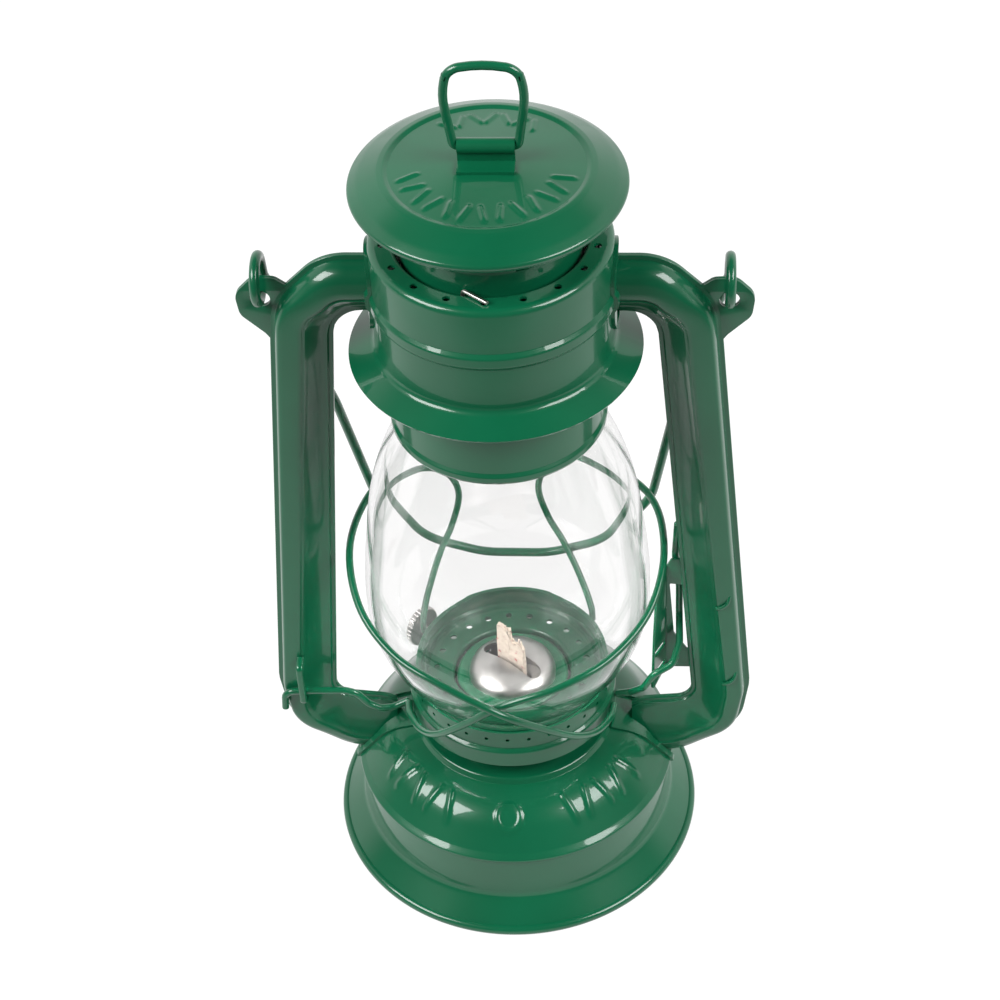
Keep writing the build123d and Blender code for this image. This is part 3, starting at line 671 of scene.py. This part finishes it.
def guard_route(outer):
    """One guard wire's route: low at the right, across the front, round the left and down at the back."""
    crossing = 46.9 if outer else 43.7
    back = 0.0 if outer else -14.0
    return [
        at_angle(33.2, -19, 56.0),
        at_angle(34.8, -29, 57.2),
        at_angle(36.6, -44, 60.2),
        at_angle(39.6, -59, 68.0),
        at_angle((crossing + 40.5) / 2, -75, 80.5),
        at_angle(crossing, -90, 91.6),
        at_angle(45.2, -112, 98.2),
        at_angle(45.4, -134, 101.2),
        at_angle(46.0, -157, 105.8),
        at_angle(46.2, -181, 112.6),
        at_angle(46.0, -207, 115.6),
        at_angle(45.8, -228 + back, 113.4),
        at_angle(45.4, -241 + back, 107.0),
        at_angle(44.6, -246 + back, 97.0),
        at_angle(43.9, -242 + back, 85.0),
        at_angle(41.9, -234 + back, 77.0),
        at_angle(38.6, -223 + back, 68.5),
        at_angle(35.4, -212 + back, 62.0),
        at_angle(33.0, -206 + back, 60.0),
    ]


def add_wires(finish):
    outer = round_bar(flowing(guard_route(True)), GUARD_WIRE_R)
    inner = turned(round_bar(flowing(guard_route(False)), GUARD_WIRE_R), Matrix.Diagonal((-1, 1, 1, 1)))
    piece("guard_wire_outer_bent", "globe_cage", "enamel", finish, *outer, "guard_wire_outer")
    piece("guard_wire_inner_bent", "globe_cage", "enamel", finish, *inner, "guard_wire_inner")
    face = -(TUBE_DEPTH + 0.5 + GUARD_WIRE_R)
    arm = [
        at_angle(32.8, -170, 51.0),
        (-37.0, face + 1.2, 49.0),
        (-41.0, face, 49.6),
        (-44.6, face, 51.8),
        (-47.8, face, 56.4),
        (-51.5, face, 57.7),
        (-63.0, face, 57.3),
        (-68.4, face, 56.8),
        (-70.2, face, 55.0),
        (-70.6, face, 49.5),
    ]
    arm = rounded(arm, [4, 6, 5, 5, 5, 40, 2.6, 2.6], 8.0)
    piece("hinge_arm_bent", "globe_cage", "enamel", finish, *round_bar(arm, GUARD_WIRE_R), "hinge_arm")
    lift = [
        at_angle(32.4, -8, 54.0),
        (36.5, -4.8, 55.2),
        (40.4, -7.6, 60.4),
        (43.4, -7.7, 66.4),
        (49.2, -5.6, 69.0),
        (51.2, -2.2, 75.0),
        (51.0, 3.9, 82.6),
        (50.9, 3.9, 94.0),
        (49.5, 3.9, 106.0),
        (50.1, 3.9, 119.0),
    ]
    lift = rounded(lift, [2.5, 4.0, 4.0, 4.0, 5.0, 4.0, 30.0, 20.0], 8.0)
    piece("lift_wire_bent", "globe_cage", "enamel", finish, *round_bar(lift, GUARD_WIRE_R), "lift_wire")
    half = [(0.3, 0, 255.6), (8.3, 0, 255.6), (10.7, 0, 272.0), (8.6, 0, 278.4), (0.0, 0, 280.06)]
    ring = half + [(-x, y, z) for x, y, z in reversed(half[:-1])]
    ring = rounded(ring, [1.6, 22.0, 5.0, 30.0, 5.0, 22.0, 1.6], 6.0)
    ring = round_bar(ring, RING_WIRE_R, 20)
    piece("carry_ring_bent", "carry_ring", "enamel", finish, *ring, "carry_ring")


# ---------------------------------------------------------------- pressed sheets


def cap_ribs():
    """Generic raised ribs: a long row round the front of the cap and a short one at its back."""
    ribs = []
    for index in range(13):
        ribs.append((20.6, math.radians(-165 + 12.5 * index), 14 * (-1) ** index))
    for index in range(7):
        ribs.append((20.6, math.radians(57 + 11 * index), 30 * (-1) ** index))
    return ribs


def add_cap(finish):
    points = [
        (0.02, CAP_TOP_Z),
        (8.0, CAP_TOP_Z),
        (CAP_RIDGE_R - 2.2, CAP_TOP_Z - 1.5),
        (CAP_RIDGE_R - 1.0, CAP_TOP_Z - 1.0),
        (CAP_RIDGE_R + 0.4, CAP_TOP_Z - 1.3),
        (CAP_RIM_R - 2.6, CAP_TOP_Z - 4.0),
        (CAP_RIM_R, CAP_RIM_Z),
        (CAP_RIM_R - 0.9, CAP_RIM_Z - 1.4),
    ]
    section = sheet_section(points, [60.0, 0.8, 0.9, 1.2, 8.0, 0.7], longest=0.7)
    section = [(max(0.02, r), z) for r, z in section]
    ribs = cap_ribs()

    def lift(radius, height, angle):
        if not 15 < radius < 26:
            return 0.0
        return rib_height(radius, angle, ribs, 4.6, 1.15, 0.5)

    piece("cap_pressed", "crown", "enamel", finish, *lathe(section, 420, lift), "cap")


def tank_ribs():
    """Generic raised ribs on the tank's shoulder, left and right of its front."""
    ribs = []
    for side in (-1, 1):
        for index in range(5):
            angle = -90 + side * (27 + 8.5 * index)
            ribs.append((40.5, math.radians(angle), 16 * (-1) ** index))
    return ribs


def add_tank(finish):
    points = [
        (19.6, TANK_TOP_Z - SHEET / 2),
        (30.0, TANK_TOP_Z - SHEET / 2),
        (30.9, TANK_TOP_Z - 2.2),
        (WALL_R - 9.0, TANK_TOP_Z - 4.6),
        (WALL_R - 1.2, 29.0),
        (WALL_R + 0.5, 27.4),
        (WALL_R - 0.5, 26.0),
        (WALL_R - 0.3, 10.0),
        (BASE_R - 1.9, 2.6),
    ]
    section = sheet_section(points, [0.6, 0.6, 16.0, 0.8, 0.5, 0.5, 4.5], longest=0.9)
    ribs = tank_ribs()
    boss_y = -40.6
    boss_ring = 3.6
    ridge = 1.2

    def lift(radius, height, angle):
        if not 32 < radius < 48 or height < 29:
            return 0.0
        up = rib_height(radius, angle, ribs, 6.4, 1.35, 0.75)
        x, y = radius * math.cos(angle), radius * math.sin(angle)
        far = abs(math.hypot(x, (y - boss_y) * 1.15) - boss_ring)
        if far < ridge:
            t = 1 - far / ridge
            up = max(up, 0.6 * t * t * (3 - 2 * t))
        return up

    bead = circle(BASE_R - 1.7, 1.5, 1.7, 20)
    bead = [(r, max(z, 0.0)) for r, z in bead]
    shell = lathe(section, 540, lift)
    piece("tank_pressed", "frame", "enamel", finish, *joined(shell, lathe(bead, 240)), "tank_shell")


def add_globe(finish):
    middle = GLASS / 2
    belly = 42.3 - middle
    points = [
        (27.4 - middle, 59.8),
        (27.4 - middle, 64.2),
        (belly, 83.4),
        (belly, 106.7),
        (38.0 - middle, 142.0),
        (27.7 - middle, 166.2),
        (27.7 - middle, 174.0),
    ]
    section = sheet_section(points, [5.0, 38.0, 150.0, 90.0, 12.0], GLASS, 2.0, 1.5)
    globe = piece("globe_blown", "globe_cage", "clear_glass", finish, *lathe(section, 256), "globe")
    globe.visible_shadow = False


# ---------------------------------------------------------------- wick, strap and bracket


def add_wick(finish):
    """The flat wick with a frayed top: its left half stands higher than its right."""
    generator = random.Random(7)
    columns, rows = 26, 44
    low, high = 16.5, 77.6
    strand_count = 16
    rings = []
    for row in range(rows + 1):
        share = row / rows
        ring = []
        for side in (1, -1):
            span = range(columns + 1) if side == 1 else range(columns, -1, -1)
            for column in span:
                u = column / columns
                top = high if u < 0.5 else high - 4.4 - 1.2 * (u - 0.5)
                top += 0.5 * math.sin(17 * u) + 0.35 * math.sin(41 * u + side)
                z = low + (top - low) * share
                rough = 0.10 if share > 0.8 else 0.04
                weave = 0.10 * math.sin(u * columns * math.pi) * math.cos(row * math.pi)
                y = side * (WICK_THICK / 2 - 0.15 + weave) + generator.uniform(-rough, rough)
                if share > 0.93:
                    y *= 0.75
                ring.append(Vector((-WICK_WIDTH / 2 + WICK_WIDTH * u, y, z)))
        rings.append(ring)
    strands = [loft(rings, closed=False)]
    for index in range(strand_count):
        u = (index + 0.5) / strand_count
        top = high if u < 0.5 else high - 4.6
        base = Vector((-WICK_WIDTH / 2 + WICK_WIDTH * u, generator.uniform(-0.6, 0.6), top - 1.2))
        lean = [generator.uniform(-0.7, 0.7), generator.uniform(-0.6, 0.6), generator.uniform(1.5, 2.7)]
        tip = base + Vector(lean)
        sway = [generator.uniform(-0.3, 0.3), generator.uniform(-0.3, 0.3), 0]
        bow = base.lerp(tip, 0.5) + Vector(sway)
        strands.append(round_bar(flowing([base, bow, tip], 4), 0.22, 7))
    mesh = turned(joined(*strands), Matrix.Rotation(math.radians(WICK_TURN), 4, "Z"))
    piece("wick_woven", "wick", "wick_cotton", finish, *mesh, "wick")


def add_strap(finish):
    """The small upright strap on the left tube that the hinge arm slides in."""
    x = -64.3
    deep = TUBE_DEPTH + 0.5 + 2 * GUARD_WIRE_R + 0.5
    path = [
        (x, -TUBE_DEPTH + 0.2, 52.4),
        (x, -deep - 0.4, 53.6),
        (x, -deep - 0.4, 69.0),
        (x, -TUBE_DEPTH + 0.2, 70.4),
    ]
    line = rounded(path, [1.6, 1.6], 12.0)
    rings = []
    for index, point in enumerate(line):
        along = (line[min(index + 1, len(line) - 1)] - line[max(index - 1, 0)]).normalized()
        out = along.cross(Vector((1, 0, 0)))
        ring = []
        for step in range(12):
            angle = 2 * math.pi * step / 12
            ring.append(point + Vector((1, 0, 0)) * 1.05 * math.cos(angle) + out * 0.42 * math.sin(angle))
        rings.append(ring)
    piece("hinge_strap_bent", "frame", "enamel", finish, *loft(rings, closed=False), "hinge_strap")


def add_bracket(finish):
    """The bent strip on the right tube: a flat window plate and a slanted leg with two notches."""
    outline = [(46.7, 60.0), (46.7, 103.0), (48.4, 106.6), (52.0, 106.6), (56.6, 60.0)]
    window = [(49.5, 75.0), (48.0, 96.3), (53.0, 95.7), (54.3, 66.7)]
    outline = rounded_loop(outline, [0.5, 3.0, 1.2, 0.5, 0.5])
    flat = plate(outline, [rounded_loop(window, [0.4] * 4)], SHEET, Matrix())
    flat = turned(flat, Matrix.Translation((0, 2.0, 0)) @ Matrix.Rotation(math.pi / 2, 4, "X"))
    leg = [(-8.6, 57.0), (-7.6, 80.0), (-6.4, 96.0), (-2.6, 103.0), (0.0, 104.0), (0.0, 60.0)]
    slots = []
    for z in (63.4, 71.8):
        slots.append([(-7.4, z - 1.0), (-1.0, z - 1.0), (-1.0, z + 1.0), (-7.4, z + 1.0)])
    leg = plate(rounded_loop(leg, [1.0, 20.0, 8.0, 3.0, 0.2, 0.2]), slots, SHEET, Matrix())
    upright = Matrix(((1, 0, 0, 0), (0, 0, 1, 0), (0, 1, 0, 0), (0, 0, 0, 1)))
    place = Matrix.Translation((47.0, 2.0, 0)) @ Matrix.Rotation(math.radians(62), 4, "Z")
    leg = turned(leg, place @ upright)
    piece("lift_bracket_bent", "frame", "enamel", finish, *joined(flat, leg), "lift_bracket")


def add_burner_cap(bright, dark):
    """The burner's dome stays bright; the plated steel cup round it takes green enamel, a painted
    reflection of the green round it.
    """
    edge = 14.0 * MM
    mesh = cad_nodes["burner_dome"].data.copy()
    thing = settle("burner_dome_finished", "frame", "plated_steel", bright, mesh, "burner_dome")
    mesh.materials.append(dark)
    # Faces further than 14 mm from the axis, the plated cup, take the green enamel: painted reflection.
    for face in mesh.polygons:
        if math.hypot(face.center.x, face.center.y) > edge:
            face.material_index = 1
    return thing


def add_spring(finish):
    """The crown spring, on its own copy of the CAD mesh."""
    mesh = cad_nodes["crown_spring"].data.copy()
    spring = settle("crown_spring_coiled", "frame", "spring_steel", finish, mesh, "crown_spring")
    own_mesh(spring)


# ---------------------------------------------------------------- the scene

add_camera()
add_world()
add_floor()
add_softbox("softbox_left", -152, 40, 1.6, (0.9, 0.7), 27)
add_softbox("softbox_right", -24, 40, 1.6, (0.9, 0.7), 23)
bpy.context.scene.view_settings.view_transform = "Standard"

FINISH = {
    "enamel": enamel(),
    "plated_steel": steel("plated_steel", (0.60, 0.58, 0.56), 0.36),
    "spring_steel": steel("spring_steel", (0.55, 0.52, 0.50), 0.35),
    "clear_glass": glass(),
    "wick_cotton": cotton(),
    "gasket": rubber(),
}
for part in frame["record"]["subparts"]:
    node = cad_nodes[part["node"]]
    node.data.materials.clear()
    node.data.materials.append(FINISH[part["material_slot"]])
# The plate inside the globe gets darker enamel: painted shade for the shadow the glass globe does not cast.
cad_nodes["globe_plate"].data.materials[0] = enamel("enamel_painted_shade", 0.6)

add_tubes(FINISH["enamel"])
add_wires(FINISH["enamel"])
add_cap(FINISH["enamel"])
add_tank(FINISH["enamel"])
add_globe(FINISH["clear_glass"])
add_wick(FINISH["wick_cotton"])
add_strap(FINISH["enamel"])
add_bracket(FINISH["enamel"])
add_burner_cap(FINISH["plated_steel"], FINISH["enamel"])
add_spring(FINISH["spring_steel"])
